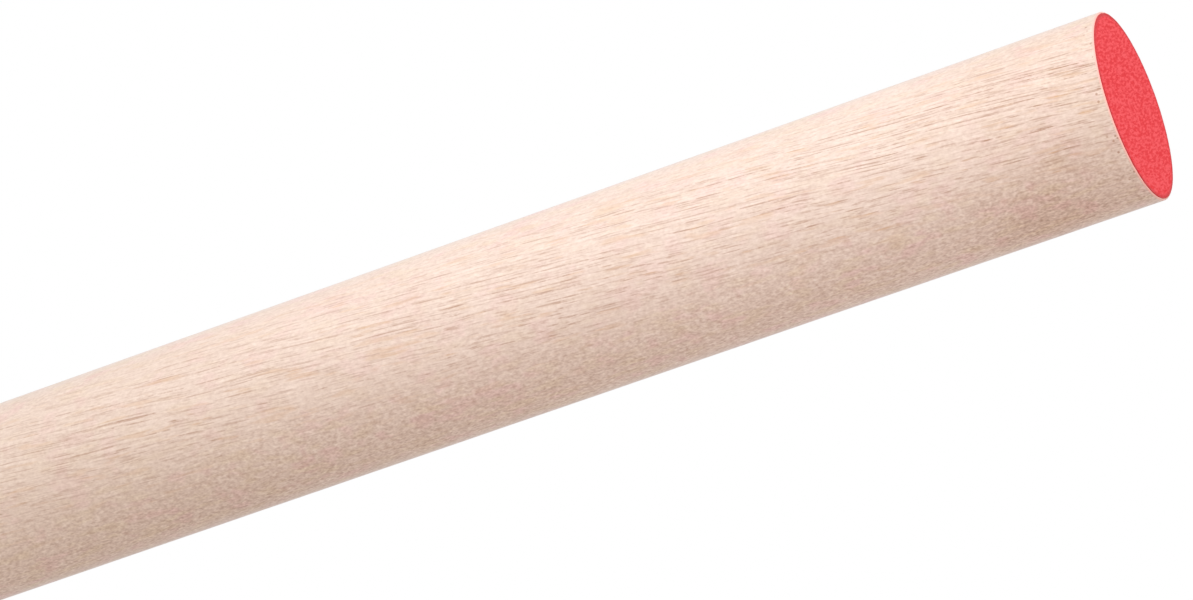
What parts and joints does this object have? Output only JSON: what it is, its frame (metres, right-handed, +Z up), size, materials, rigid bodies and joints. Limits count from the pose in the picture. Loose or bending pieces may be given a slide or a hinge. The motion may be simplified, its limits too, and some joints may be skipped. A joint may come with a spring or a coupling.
{
  "type": "wooden dowel rod",
  "caption": "Plain round rod of pale, straight-grained hardwood with square-cut ends: the upper end is painted red, the lower is bare.",
  "frame": {"origin": "centre of the plain sawn end, on the surface that the rod stands on", "axes": "+Z runs up the rod's axis, out of the painted end; X and Y lie across the rod, which is round"},
  "size_m": [0.0254, 0.0254, 0.3049],
  "materials": {
    "wood": "matte",
    "end_paint": "matte"
  },
  "bodies": {
    "root": {"rod": "wood", "end_paint": "end_paint"}
  },
  "joints": []
}
